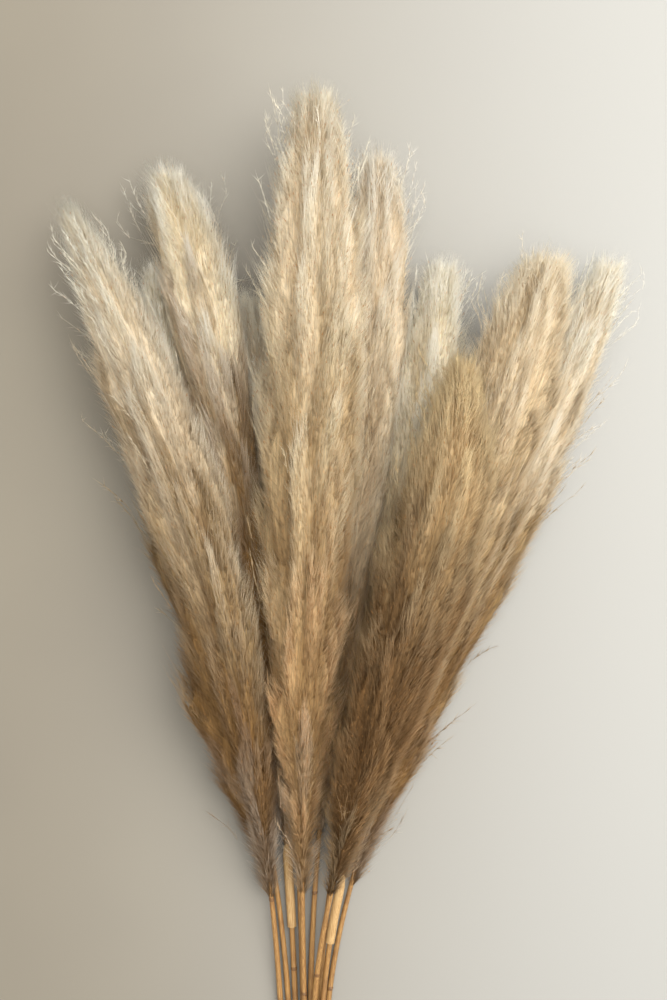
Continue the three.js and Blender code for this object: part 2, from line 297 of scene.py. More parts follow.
# straw: lengthwise fibres and blotches, used on the stalks and the leaf sheaths
def makeStrawGroup():
    group = bpy.data.node_groups.new("strawFibre", "ShaderNodeTree")
    socketsFor(group, [
        ("Light Tone", "NodeSocketColor", tint(206, 168, 104)),
        ("Dark Tone", "NodeSocketColor", tint(150, 104, 54)),
        ("Stain Tone", "NodeSocketColor", tint(110, 70, 36)),
        ("Fibre Scale", "NodeSocketFloat", 1.0),
        ("Stain Share", "NodeSocketFloat", 0.4),
    ], "INPUT")
    socketsFor(group, finishSockets, "OUTPUT")
    nodes, links = group.nodes, group.links
    taken = place(nodes, "NodeGroupInput", -1200, 0)
    given = place(nodes, "NodeGroupOutput", 800, 0)
    coordinates = place(nodes, "ShaderNodeTexCoord", -1200, -300)
    mapping = place(nodes, "ShaderNodeMapping", -1000, -200)
    mapping.inputs["Scale"].default_value = (1500, 28, 1500)
    links.new(coordinates.outputs["Object"], mapping.inputs["Vector"])
    fibres = place(nodes, "ShaderNodeTexNoise", -800, -200)
    fibres.inputs["Detail"].default_value = 4.0
    links.new(mapping.outputs[0], fibres.inputs["Vector"])
    links.new(taken.outputs["Fibre Scale"], fibres.inputs["Scale"])
    stains = place(nodes, "ShaderNodeTexNoise", -800, -500)
    stains.inputs["Scale"].default_value = 45.0
    stains.inputs["Detail"].default_value = 5.0
    links.new(coordinates.outputs["Object"], stains.inputs["Vector"])
    strand = spread(group, fibres.outputs[0], 0.32, 0.68, 0.0, 1.0, -600, -200)
    stain = spread(group, stains.outputs[0], 0.5, 0.75, 0.0, 1.0, -600, -500)
    stain = sumOf(group, "MULTIPLY", stain, taken.outputs["Stain Share"], -400, -500)
    tone = blendColours(group, strand, taken.outputs["Dark Tone"], taken.outputs["Light Tone"], -300, 100)
    tone = blendColours(group, stain, tone, taken.outputs["Stain Tone"], 0, 100)
    links.new(tone, given.inputs["Color"])
    rough = sumOf(group, "MULTIPLY_ADD", strand, -0.2, 200, -200, 0.62)
    links.new(rough, given.inputs["Roughness"])
    links.new(strand, given.inputs["Height"])
    return group


strawGroup = makeStrawGroup()


def makeStrawMaterial(name, light, dark, stain, stainShare, gloss):
    material = bpy.data.materials.new(name)
    material.use_nodes = True
    nodes, links = material.node_tree.nodes, material.node_tree.links
    surface = nodes["Principled BSDF"]
    surface.inputs["Coat Weight"].default_value = gloss
    surface.inputs["Coat Roughness"].default_value = 0.35
    straw = place(nodes, "ShaderNodeGroup", -400, 0, node_tree=strawGroup)
    straw.inputs["Light Tone"].default_value = light
    straw.inputs["Dark Tone"].default_value = dark
    straw.inputs["Stain Tone"].default_value = stain
    straw.inputs["Stain Share"].default_value = stainShare
    bump = place(nodes, "ShaderNodeBump", -200, -250)
    bump.inputs["Strength"].default_value = 0.45
    bump.inputs["Distance"].default_value = 0.0003
    links.new(straw.outputs["Height"], bump.inputs["Height"])
    links.new(straw.outputs["Color"], surface.inputs["Base Color"])
    links.new(straw.outputs["Roughness"], surface.inputs["Roughness"])
    links.new(bump.outputs[0], surface.inputs["Normal"])
    return material


stalkMaterial = makeStrawMaterial(
    "goldenStraw", tint(166, 128, 74), tint(124, 86, 44), tint(92, 58, 28), 0.45, 0.1)
sheathMaterial = makeStrawMaterial(
    "paperySheath", tint(190, 160, 112), tint(158, 122, 76), tint(120, 84, 48), 0.35, 0.03)
# dark joints; the same material paints shade on the floor of the hollow at the cut end
jointAndHollowShadeMaterial = makeStrawMaterial(
    "stalkJoint", tint(128, 92, 50), tint(94, 62, 32), tint(70, 44, 22), 0.4, 0.08)
pithMaterial = makeStrawMaterial(
    "palePith", tint(236, 222, 188), tint(206, 184, 140), tint(170, 136, 90), 0.2, 0.0)


def makeFloorMaterial():
    material = bpy.data.materials.new("paleFloor")
    material.use_nodes = True
    tree = material.node_tree
    nodes, links = tree.nodes, tree.links
    surface = nodes["Principled BSDF"]
    surface.inputs["Roughness"].default_value = 0.85
    surface.inputs["Specular IOR Level"].default_value = 0.2
    coordinates = place(nodes, "ShaderNodeTexCoord", -800, 0)
    mottle = place(nodes, "ShaderNodeTexNoise", -600, 0)
    mottle.inputs["Scale"].default_value = 3.0
    links.new(coordinates.outputs["Object"], mottle.inputs["Vector"])
    share = spread(tree, mottle.outputs[0], 0.3, 0.7, 0.0, 1.0, -400, 0)
    tone = blendColours(tree, share, tint(124, 119, 109), tint(128, 123, 112), -200, 0)
    # painted light: the floor's colour is paler toward the key light on the right
    apart = place(nodes, "ShaderNodeSeparateXYZ", -600, -300)
    links.new(coordinates.outputs["Object"], apart.inputs[0])
    paintedLightShare = spread(tree, apart.outputs[0], -0.45, 0.45, 0.0, 1.0, -400, -300)
    tone = blendColours(tree, paintedLightShare, tone, tint(156, 157, 156), 0, 0)
    links.new(tone, surface.inputs["Base Color"])
    return material


bpy.ops.mesh.primitive_plane_add(size=viewSettings["floorSize"], location=(0, 0, 0))
floor = bpy.context.object
floor.name = "studioFloor"
floor.data.materials.append(makeFloorMaterial())
print("materials and floor made")

# One entry a stalk, in millimetres, the same as the solids: cut is X and Z of the cut end,
# bend and rise the X and Z of the two inner handles, left and right the reach of the plume,
# tufts their number, fan how far below its tip the plume begins to close.
stems = [
    dict(name="far_left", cut=(-62, 3.2), bend=(-74, -124), rise=(3.2, 130), tip=(-300, 430, 62),
         trim=6, base=-322, left=(26, 84, 90, 66, 32), right=(16, 50, 64, 62, 36), deep=0.85,
         tufts=134, tone="goldenPlume", pointed=0.22, fan=12),
    dict(name="left_inner", cut=(-54.3, 3.2), bend=(-55, -161), rise=(3.2, 44), tip=(-207, 372, 42),
         trim=2, base=-285, left=(16, 50, 62, 52, 28), right=(16, 44, 58, 50, 28), deep=0.9,
         tufts=82, tone="creamPlume", pointed=0.18, fan=30),
    dict(name="left_tall", cut=(-46.6, 3.2), bend=(-55, -86), rise=(3.2, 60), tip=(-194, 478, 50),
         trim=9, base=-270, left=(16, 54, 70, 78, 48), right=(16, 54, 76, 92, 56), deep=0.8,
         tufts=114, tone="honeyPlume", pointed=0.14, fan=46),
    dict(name="left_short", cut=(-38.9, 3.2), bend=(-43, -59), rise=(3.2, 44), tip=(-102, 337, 42),
         trim=0, base=-275, left=(16, 40, 56, 50, 26), right=(16, 40, 56, 50, 26), deep=1.0,
         tufts=76, tone="goldenPlume", pointed=0.2, fan=30),
    dict(name="centre_tall", cut=(-35.05, 9.95), bend=(-54, -17), rise=(14, 176), tip=(-25, 550, 92),
         trim=5, base=-315, left=(18, 60, 78, 76, 46), right=(18, 58, 74, 74, 46), deep=0.85,
         tufts=134, tone="wheatPlume", seedy=3.0, pointed=0.12, fan=34),
    dict(name="centre_right", cut=(-31.2, 3.2), bend=(-42, 47), rise=(3.2, 58), tip=(43, 497, 50),
         trim=11, base=-265, left=(16, 44, 60, 58, 44), right=(16, 48, 70, 62, 44), deep=0.9,
         tufts=102, tone="duskyPlume", pointed=0.14, fan=36),
    dict(name="right_pale", cut=(-23.5, 3.2), bend=(-30, 92), rise=(3.2, 50), tip=(117, 374, 46),
         trim=4, base=-285, left=(16, 46, 68, 64, 42), right=(16, 44, 58, 56, 38), deep=0.9,
         tufts=90, tone="creamPlume", pointed=0.18, fan=46),
    dict(name="right_short", cut=(-27.35, 9.95), bend=(-46, 113), rise=(16, 180), tip=(129, 254, 128),
         trim=8, base=-312, left=(18, 50, 70, 66, 34), right=(20, 54, 72, 66, 34), deep=0.85,
         tufts=102, tone="paintedShadePlume", pointed=0.24, fan=40),
    dict(name="right_large", cut=(-19.65, 9.95), bend=(-30, 146), rise=(13, 118), tip=(227, 378, 78),
         trim=3, base=-300, left=(18, 58, 78, 84, 56), right=(20, 56, 74, 86, 56), deep=0.8,
         tufts=126, tone="tawnyPlume", pointed=0.14, fan=64),
    dict(name="far_right", cut=(-15.8, 3.2), bend=(-21, 196), rise=(3.2, 46), tip=(303, 376, 46),
         trim=7, base=-312, left=(18, 46, 60, 58, 30), right=(26, 52, 62, 54, 30), deep=0.85,
         tufts=108, tone="goldenPlume", pointed=0.14, fan=44),
]


# how the stalks and plumes run
def bezier(handles, t):
    u = 1 - t
    first, last = u ** 3 * handles[0], t ** 3 * handles[3]
    return first + 3 * u * u * t * handles[1] + 3 * u * t * t * handles[2] + last


def axisAt(stem, level):
    t = np.clip((level - cutLevel) / (stem["tip"][1] - cutLevel), 0, 1)
    x = bezier((stem["cut"][0], *stem["bend"], stem["tip"][0]), t)
    z = bezier((stem["cut"][1], *stem["rise"], stem["tip"][2]), t)
    return x, z


def readRow(row, share):
    return np.interp(share, np.linspace(0, 1, len(row)), row)


def stalkRadiusAt(stem, level):
    return np.interp(level, (cutLevel, stem["base"]), (3.7, 2.7))


def plumeShare(stem, level):
    return (level - stem["base"]) / (stem["tip"][1] - stem["base"])


def sizeAt(stem, level):
    share = plumeShare(stem, level)
    return np.where(share < 0, 6, (readRow(stem["left"], share) + readRow(stem["right"], share)) / 2)


def reachAt(stem, level, angle):
    share = plumeShare(stem, level)
    rounding = stem.get("pointed", 0.12)
    end = np.clip((share - 1 + rounding) / rounding, 0, 0.98)
    wide = np.where(np.cos(angle) < 0, readRow(stem["left"], share), readRow(stem["right"], share))
    deep = stem["deep"] * sizeAt(stem, np.maximum(level, stem["base"]))
    return np.sqrt(1 - end ** 2) / np.hypot(np.cos(angle) / wide, np.sin(angle) / deep)


# the same, but as wide as a little lower down where the tip closes, for ends that fan out
def fanAt(stem, level, angle):
    return reachAt(stem, np.minimum(level, stem["tip"][1] - stem["fan"]), angle)


def around(stem, level, reach, angle):
    x, z = axisAt(stem, level)
    return np.stack([x + reach * np.cos(angle), level + 0 * x, z + reach * np.sin(angle)], -1)


# draws points in towards their own axis until they are above the floor and clear of the rest
def keepClear(stem, points, gap, lowest):
    level = points[..., 1]
    x, z = axisAt(stem, level)
    dx, dz = points[..., 0] - x, points[..., 2] - z
    own = sizeAt(stem, level)
    share = np.where(points[..., 2] < lowest, (z - lowest) / np.maximum(-dz, 1e-6), 1.0)
    for other in stems:
        if other is stem:
            continue
        otherX, otherZ = axisAt(other, level)
        awayX, awayZ = otherX - x, otherZ - z
        distance = np.hypot(awayX, awayZ)
        border = np.maximum(distance * own / (own + sizeAt(other, level)), stalkRadiusAt(stem, level) + 0.8)
        border = np.minimum(border, distance - stalkRadiusAt(other, level) - 0.8) - gap
        outward = (dx * awayX + dz * awayZ) / distance
        over = (level < other["tip"][1] + 25) & (outward > border)
        held = np.maximum(border, 0.5) / np.maximum(outward, 1e-6)
        share = np.where(over, np.minimum(share, held), share)
    share = np.clip(share, 0, 1)
    return np.stack([x + dx * share, level, z + dz * share], -1)


def unit(vectors):
    return vectors / np.maximum(np.linalg.norm(vectors, axis=-1, keepdims=True), 1e-9)


# far_left after plume gives plumeFarLeft
def pieceName(kind, name):
    return kind + "".join(word.capitalize() for word in name.split("_"))


def editAll():
    bpy.ops.object.mode_set(mode="EDIT")
    bpy.ops.mesh.select_all(action="SELECT")


def leaveEdit():
    bpy.ops.object.mode_set(mode="OBJECT")


# plumes, in millimetres and degrees; tufts of fluff on a soft middle
plumeSettings = {
    "seed": 4127, "seedStep": 97,
    # tufts, from the foot of the plume to its tip
    "tuftLengths": (70, 116, 128, 116, 92), "tuftWidths": (8, 13, 16, 16, 12),
    "tuftStands": (0.6, 1.15), "tuftTurn": 2.39996, "tuftSwerve": 8,
    # the soft middle
    "bodyShare": 0.41, "tuftDepth": 0.3, "bodyLeast": 3.6, "bodyRough": 0.4,
    "bodyRings": 116, "bodySides": 46, "bodyTop": 0.978, "bodyEnd": 0.988,
    # gaps to the neighbours, and the lowest level
    "bodyClear": (1.2, 0.8), "cellClear": (1.6, 2.0), "rootClear": (2.2, 1.6),
    "seedClear": (1.0, 1.0), "pointClear": (2.0, 1.6), "lastClear": (1.6, 1.6),
    # how far loose ends may go
    "pastTip": 22, "domeShare": 0.22, "domePower": 1.3, "tipDrop": 300, "sideLimits": (-332, 340),
    "endGap": 1.0, "crossing": 100, "endFloor": 0.6, "hairSpare": 12.0, "hairLoose": 0.06,
    # silky hairs, their number by the square centimetre
    "cellRows": 160, "cellColumns": 60,
    "hairsOver": 27.0, "hairsUnder": 5.0, "leastFull": 0.15, "roomRange": (0.6, 0.98),
    "hairLength": (31.0, 30.0), "hairWidth": 0.33, "hairThickness": 0.26,
    "hairLean": (12.0, 19.0, 31.0), "together": 0.8, "drift": 0.1,
    "wispShare": 0.28, "wispLean": (22, 58), "wispLength": 0.8, "wispWidth": 0.6,
    "shaggyLean": 30.0, "shaggyShare": 0.24,
    # seed husks
    "seedShare": 0.04, "seedLength": 5.0, "seedWidth": 0.4,
    # points of the tufts
    "pointHairs": 38, "pointShares": (0.88, 1.2), "pointPast": 19, "pointClosing": 0.65,
    "pointSteep": 0.56, "pointWidth": 0.85, "pointLengths": (6, 75), "pointLoose": (16.0, 0.03),
    # stray sprays, with the room of their path, stem and hairs
    "strays": 104, "straySteps": 6, "strayLength": (24, 56), "strayLean": (8, 30),
    "strayBelow": 50, "strayCurl": (0.16, 0.15), "strayStemWidth": 0.28,
    "strayHairs": 14, "strayHairLength": (7, 14), "strayHairWidth": 0.24,
    "straySpares": (16.0, 18.0, 19.0),
    # the last tuft
    "tipHairs": 380, "tipWisps": 14, "tipPast": 10.0, "tipScatter": (0.34, 0.3, 0.34),
    "tipSteep": 0.5, "tipLength": (0.55, 1.2), "tipWidth": 0.8,
}


# gathers closed faceted shapes with their place and draw values into one mesh
class Gather:
    def __init__(self, stem):
        self.stem = stem
        self.points, self.faces, self.growth, self.draw = [], [], [], []
        self.count = 0

    def add(self, points, faces, growth, draw):
        # points: shapes x corners x 3, faces: rows of three corners of one shape
        shapes, corners = points.shape[:2]
        starts = self.count + np.arange(shapes)[:, None, None] * corners
        self.points.append(points.reshape(-1, 3))
        self.faces.append((starts + np.array(faces)[None]).reshape(-1, 3))
        self.growth.append(growth.reshape(-1, 3))
        if draw.ndim == 2:
            draw = np.repeat(draw[:, None], corners, 1)
        self.draw.append(draw.reshape(-1, 3))
        self.count += shapes * corners

    def makeObject(self, name):
        points = np.concatenate(self.points)
        x, z = axisAt(self.stem, points[:, 1])
        skin = (points - np.stack([x, 0 * x, z], -1)) * toMetres
        points = (points * toMetres).astype(np.float32)
        faces = np.concatenate(self.faces).astype(np.int32)
        mesh = bpy.data.meshes.new(name)
        mesh.vertices.add(len(points))
        mesh.vertices.foreach_set("co", points.ravel())
        mesh.loops.add(faces.size)
        mesh.loops.foreach_set("vertex_index", faces.ravel())
        mesh.polygons.add(len(faces))
        mesh.polygons.foreach_set("loop_start", np.arange(0, faces.size, 3, dtype=np.int32))
        mesh.update(calc_edges=True)
        mesh.polygons.foreach_set("use_smooth", np.ones(len(faces), dtype=bool))
        for key, rows in (("skin", [skin]), ("growth", self.growth), ("draw", self.draw)):
            values = np.concatenate(rows)
            values = np.concatenate([values, np.ones((len(values), 1))], 1).astype(np.float32)
            layer = mesh.color_attributes.new(key, "FLOAT_COLOR", "POINT")
            layer.data.foreach_set("color", values.ravel())
        mesh.validate()
        piece = bpy.data.objects.new(name, mesh)
        bpy.context.scene.collection.objects.link(piece)
        return piece


# two directions across a given one
def acrossOf(direction):
    side = unit(np.cross(direction, np.array([0.31, 0.12, 0.94])))
    return side, np.cross(direction, side)


def ringsRound(centres, directions, radius, corners=3):
    side, other = acrossOf(directions)
    turns = 2 * np.pi * np.arange(corners) / corners
    radius = np.asarray(radius)[..., None, None]
    return (centres[..., None, :] + radius * (np.cos(turns)[:, None] * side[..., None, :]
                                              + np.sin(turns)[:, None] * other[..., None, :]))


def outwardAt(turn):
    return np.stack([np.cos(turn), 0 * turn, np.sin(turn)], -1)


# a step of 12 mm along the axis of the plume
def stepAt(stem, level):
    (lowX, lowZ), (highX, highZ) = axisAt(stem, level - 6), axisAt(stem, level + 6)
    return np.stack([highX - lowX, 12 + 0 * level, highZ - lowZ], -1)


# a value of the tuft, one of each hair, and no tan of a husk
def drawsOf(rng, tuftDraw):
    return np.stack([tuftDraw, rng.random(len(tuftDraw)), np.zeros(len(tuftDraw))], -1)


# how far up the plume, out from its axis and along the hair
def growthOf(stem, points, alongShare):
    x, z = axisAt(stem, points[..., 1])
    dx, dz = points[..., 0] - x, points[..., 2] - z
    reach = reachAt(stem, points[..., 1], np.arctan2(dz, dx))
    outward = np.clip(np.hypot(dx, dz) / np.maximum(reach, 1), 0, 1)
    up = np.clip(plumeShare(stem, points[..., 1]), 0, 1)
    return np.stack([up, outward, alongShare + 0 * up], -1)


# tufts overlap like scales: each starts against the plume and its tip stands away
def tuftsOf(stem, rng, settings):
    count = stem["tufts"]
    index = np.arange(count)
    share = ((index + rng.uniform(0.1, 0.9, count)) / count) ** 0.92 - 0.04
    tufts = {
        "level": stem["base"] + (stem["tip"][1] - stem["base"]) * share,
        "angle": index * settings["tuftTurn"] + rng.uniform(-0.35, 0.35, count),
        "length": readRow(settings["tuftLengths"], share) * rng.uniform(0.75, 1.3, count),
        "width": readRow(settings["tuftWidths"], share) * rng.uniform(0.8, 1.25, count),
        "swerve": rng.normal(0, settings["tuftSwerve"], count),
        "stand": rng.uniform(*settings["tuftStands"], count),
        "draw": rng.random(count),
    }
    tufts["radius"] = 0.8 * reachAt(stem, tufts["level"] + 0.5 * tufts["length"], tufts["angle"])
    return tufts


# how far the tuft that stands out most does so, which one it is, and where on it this is
def tuftAt(tufts, level, angle):
    up = (level[:, None] - tufts["level"]) / tufts["length"]
    turn = np.mod(angle[:, None] - tufts["angle"] + np.pi, 2 * np.pi) - np.pi
    aside = turn * tufts["radius"] - tufts["swerve"] * up
    narrow = tufts["width"] * np.interp(up, (0, 0.5, 1), (1.0, 0.95, 0.35))
    swell = np.interp(up, (-0.15, 0.0, 0.72, 0.95, 1.15), (0, 0.3, 1.0, 0.75, 0))
    swell = swell * np.exp(-(aside / narrow) ** 2) * tufts["stand"]
    row, best = np.arange(len(level)), swell.argmax(1)
    return swell[row, best], best, np.clip(up[row, best], 0, 1), aside[row, best]


def bodyReach(stem, level, angle, swell, settings):
    taper = np.interp(plumeShare(stem, level), (0, 0.16, 0.8, 1), (0.3, 1, 1, 0.6))
    share = settings["bodyShare"] + settings["tuftDepth"] * swell
    return np.maximum(reachAt(stem, level, angle) * share * taper, settings["bodyLeast"])


# where hairs stand: fuller where it shows, thin underneath and where a neighbour presses
def standsOver(stem, rng, settings):
    rows, columns = settings["cellRows"], settings["cellColumns"]
    span = 0.97 * (stem["tip"][1] - stem["base"]) + 20
    level = np.repeat(stem["base"] - 20 + span * (np.arange(rows) + 0.5) / rows, columns)
    turn = np.tile(2 * np.pi * (np.arange(columns) + 0.5) / columns, rows)
    reach = 0.85 * reachAt(stem, level, turn)
    x, z = axisAt(stem, level)
    clear = keepClear(stem, around(stem, level, reach, turn), *settings["cellClear"])
    held = np.hypot(clear[:, 0] - x, clear[:, 2] - z) / reach
    number = np.interp(np.sin(turn), (-0.6, 0.15), (settings["hairsUnder"], settings["hairsOver"]))
    number *= np.interp(held, settings["roomRange"], (settings["leastFull"], 1))
    number *= reach * (2 * np.pi / columns) * (span / rows) / 100
    cell = rng.choice(len(number), int(number.sum()), p=number / number.sum())
    level = level[cell] + rng.uniform(-0.5, 0.5, len(cell)) * span / rows
    turn = turn[cell] + rng.uniform(-0.5, 0.5, len(cell)) * 2 * np.pi / columns
    return level, turn


# leans an aim back towards its root where it would lie across the plume
def steep(root, aim, most):
    step = aim - root
    step[:, 1] = np.maximum(step[:, 1], 4)
    aside = np.hypot(step[:, 0], step[:, 2])
    step[:, (0, 2)] *= np.minimum(1, most * step[:, 1] / np.maximum(aside, 1e-6))[:, None]
    return root + step


def makePlume(stem, order):
    settings, top = plumeSettings, stem["tip"][1]
    rng = np.random.default_rng(settings["seed"] + settings["seedStep"] * order)
    gather = Gather(stem)
    tufts, count = tuftsOf(stem, rng, settings), stem["tufts"]
    span = top - stem["base"]

    # the soft middle, its surface in tufts
    sides, ringCount = settings["bodySides"], settings["bodyRings"]
    level = np.repeat(stem["base"] + span * settings["bodyTop"] * np.linspace(0, 1, ringCount), sides)
    turn = np.tile(2 * np.pi * np.arange(sides) / sides, ringCount)
    swell, owner = tuftAt(tufts, level, turn)[:2]
    reach = bodyReach(stem, level, turn, swell, settings) + rng.normal(0, settings["bodyRough"], len(level))
    rings = keepClear(stem, around(stem, level, reach, turn), *settings["bodyClear"])
    end = np.array([stem["base"] + settings["bodyEnd"] * span])
    x, z = axisAt(stem, end)
    points = np.concatenate([rings, np.stack([x, end, z], -1)])[None]
    faces = [(0, side, side + 1) for side in range(1, sides - 1)]
    for ring in range(ringCount - 1):
        for side in range(sides):
            a, b = ring * sides + side, ring * sides + (side + 1) % sides
            faces += [(a, a + sides, b), (b, a + sides, b + sides)]
    last = (ringCount - 1) * sides
    faces += [(last + side, ringCount * sides, last + (side + 1) % sides) for side in range(sides)]
    growth = growthOf(stem, points, 0.0)
    # painted shade: the middle takes more of the painted shade tone in the valleys between the tufts
    growth[0, :-1, 1] *= 0.45 + 0.5 * np.minimum(swell, 1)
    draws = np.zeros((1, len(level) + 1, 3)) + 0.5
    draws[0, :-1, 0] = tufts["draw"][owner]
    draws[..., 2] = 0
    gather.add(points, faces, growth, draws)

    # keeps loose ends near the outline of the plume, as uneven as they are loose
    def within(points, spare, loose):
        number = len(points)
        x, z = axisAt(stem, points[:, 1])
        dome = np.hypot(points[:, 0] - x, points[:, 2] - z) ** settings["domePower"]
        dome = settings["domeShare"] * dome * (loose > 0)
        drop = settings["tipDrop"] * loose * rng.random(number) ** 2
        points[:, 1] = np.minimum(points[:, 1], top + settings["pastTip"] - dome - drop)
        x, z = axisAt(stem, points[:, 1])
        dx, dz = points[:, 0] - x, points[:, 2] - z
        uneven = rng.uniform(1 - loose, 1 + loose, number)
        most = fanAt(stem, points[:, 1], np.arctan2(dz, dx)) * uneven + spare
        pull = np.minimum(1, most / np.maximum(np.hypot(dx, dz), 1e-6))
        x = np.clip(x + dx * pull, *settings["sideLimits"])
        points = np.stack([x, points[:, 1], z + dz * pull], -1)
        gap = settings["endGap"] - settings["crossing"] * loose * rng.random(number)
        return keepClear(stem, points, gap, settings["endFloor"])

    # fine tapering hairs of four faces
    def addHairs(root, direction, length, width, outward, along, draws,
                 spare=settings["hairSpare"], loose=settings["hairLoose"]):
        tips = within(root + direction * length[:, None], spare, loose)
        forward = unit(tips - root)
        side = unit(np.cross(forward, outward + 0.5 * rng.normal(size=root.shape)))
        back = np.cross(side, forward) * settings["hairThickness"]
        broad = (width * rng.uniform(0.6, 1.25, len(root)))[:, None]
        points = np.stack([root + side * broad, root - side * broad, root + back, tips], 1)
        growth = growthOf(stem, points, 0)
        # painted shade: the roots of the hairs, and hairs low on a tuft, take more of the painted shade tone
        growth[:, :3, 1] *= (0.55 + 0.45 * along)[:, None]
        growth[:, 3, 1] *= 0.8 + 0.2 * along
        growth[:, :3, 2] = 0.06 + 0.25 * along[:, None]
        growth[:, 3, 2] = 1
        # a foot that faces the tip is turned over
        foot = np.cross(points[:, 1] - points[:, 0], points[:, 2] - points[:, 0])
        turned = np.einsum("ij,ij->i", foot, forward) < 0
        points[turned] = points[turned][:, [1, 0, 2, 3]]
        gather.add(points, [(0, 2, 1), (0, 1, 3), (1, 2, 3), (2, 0, 3)], growth, draws)
        return tips

    # silky hairs all over, drawn together towards the tip of each tuft
    level, turn = standsOver(stem, rng, settings)
    swell, owner, along, aside = tuftAt(tufts, level, turn)
    kept = rng.random(len(level)) < 0.5 + 0.5 * along
    rows = (level, turn, swell, owner, along, aside)
    level, turn, swell, owner, along, aside = (row[kept] for row in rows)
    number, share = len(level), plumeShare(stem, level)
    reach = bodyReach(stem, level, turn, swell, settings) - 1.5
    root = keepClear(stem, around(stem, level, reach, turn), *settings["rootClear"])
    outward = outwardAt(turn)
    sideways = np.stack([-np.sin(turn), 0 * turn, np.cos(turn)], -1)
    slope = 0.75 * (reachAt(stem, level + 8, turn) - reachAt(stem, level - 8, turn)) / 16
    forward = unit(stepAt(stem, level) / 12 + outward * np.clip(slope, -0.1, 0.45)[:, None])
    lean = np.interp(along, (0, 0.6, 1), settings["hairLean"]) * rng.uniform(0.5, 1.4, number)
    lean += rng.normal(0, 3, number)
    lean += np.interp(share, (0, settings["shaggyShare"]), (settings["shaggyLean"], 0)) * rng.random(number)
    wisp = rng.random(number) < settings["wispShare"]
    lean = np.radians(np.where(wisp, rng.uniform(*settings["wispLean"], number), lean))[:, None]
    length = np.interp(along, (0, 1), settings["hairLength"]) * rng.uniform(0.65, 1.2, number)
    stretch = np.interp(share, (0, 0.12, 0.8, 1), (1.1, 1, 1, 1.25))
    length *= stretch * np.where(wisp, settings["wispLength"], 1)
    drift = -aside * settings["together"] * along / length + rng.normal(0, settings["drift"], number)
    direction = unit(forward * np.cos(lean) + outward * np.sin(lean) + sideways * drift[:, None])
    draws = drawsOf(rng, tufts["draw"][owner])
    width = settings["hairWidth"] * np.where(wisp, settings["wispWidth"], 1)
    tips = addHairs(root, direction, length, width, outward, along, draws)

    # small tan seed husks among them
    chosen = np.flatnonzero(rng.random(number) < settings["seedShare"] * stem.get("seedy", 1))
    number, hair = len(chosen), (tips - root)[chosen]
    start = root[chosen] + hair * rng.uniform(0.3, 0.8, number)[:, None]
    size = settings["seedLength"] * rng.uniform(0.6, 1.3, number)
    ends = keepClear(stem, start + unit(hair) * size[:, None], *settings["seedClear"])
    width = settings["seedWidth"] * rng.uniform(0.7, 1.1, number)
    rings = ringsRound(start + (ends - start) * 0.4, unit(ends - start), width)
    points = np.concatenate([start[:, None], rings, ends[:, None]], 1)
    draws = np.stack([rng.random(number), rng.random(number), rng.uniform(0.3, 1.0, number)], -1)
    gather.add(points, [(0, 2, 1), (0, 3, 2), (0, 1, 3), (1, 2, 4), (2, 3, 4), (3, 1, 4)],
               growthOf(stem, points, 0.2), draws)

    # each tuft runs out in a feathery point
    owner = np.repeat(np.arange(count), settings["pointHairs"])
    number = len(owner)
    share = rng.uniform(0.45, 1.0, number)
    level = tufts["level"][owner] + tufts["length"][owner] * share
    level = np.clip(level, stem["base"] - 10, stem["base"] + 0.97 * span)
    aside = tufts["swerve"][owner] * share + tufts["width"][owner] * rng.normal(0, 0.42, number)
    turn = tufts["angle"][owner] + aside / tufts["radius"][owner]
    reach = bodyReach(stem, level, turn, tuftAt(tufts, level, turn)[0], settings) - 1
    root = keepClear(stem, around(stem, level, reach, turn), *settings["pointClear"])
    end = tufts["level"] + tufts["length"] * rng.uniform(1.1, 1.4, count)
    end = np.minimum(end, top + settings["pointPast"] - stem["fan"] * rng.random(count))
    endTurn = tufts["angle"] + tufts["swerve"] / tufts["radius"]
    far = fanAt(stem, end, endTurn) * rng.uniform(*settings["pointShares"], count)
    far += rng.uniform(-2, 12, count)
    far *= np.interp(end, (top - stem["fan"], top), (1, settings["pointClosing"]))
    aim = around(stem, end, far, endTurn)[owner] + rng.normal(0, 2.4, (number, 3))
    aim = steep(root, aim, settings["pointSteep"])
    length = np.linalg.norm(aim - root, axis=1) * rng.uniform(0.65, 1.1, number)
    shortest, longest = settings["pointLengths"]
    kept = (length < longest) & (length > shortest)
    kept &= (rng.random(number) < np.interp(np.sin(turn), (-0.6, 0.1), (0.3, 1)))
    draws = drawsOf(rng, tufts["draw"][owner])
    rows = (root, aim, length, outwardAt(turn), draws)
    root, aim, length, outward, draws = (row[kept] for row in rows)
    addHairs(root, unit(aim - root), length, settings["hairWidth"] * settings["pointWidth"], outward,
             0 * length + 0.8, draws, *settings["pointLoose"])

